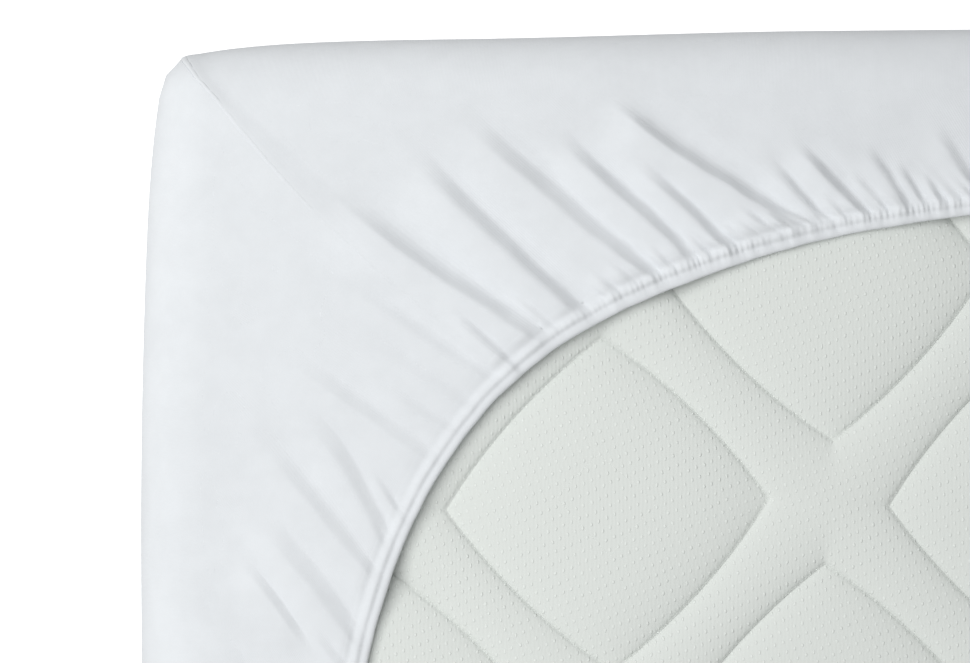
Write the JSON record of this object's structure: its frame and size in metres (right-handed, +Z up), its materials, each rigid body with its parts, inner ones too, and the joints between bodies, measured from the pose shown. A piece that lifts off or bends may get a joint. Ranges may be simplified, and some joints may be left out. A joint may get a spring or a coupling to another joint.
{
  "type": "fitted mattress pad on a mattress",
  "caption": "Thin jersey mattress pad with a gathered elastic hem, fitted round a single mattress whose diamond-quilted underside faces up.",
  "frame": {"origin": "on the surface it rests on, under the middle of the mattress", "axes": "+X along the mattress, +Y across it, +Z up, out of the underside that faces up"},
  "size_m": [2.0088, 0.9088, 0.1921],
  "materials": {
    "jersey": "matte",
    "ticking": "matte"
  },
  "bodies": {
    "root": {"fitted_pad": "jersey", "mattress": "ticking"}
  },
  "joints": []
}
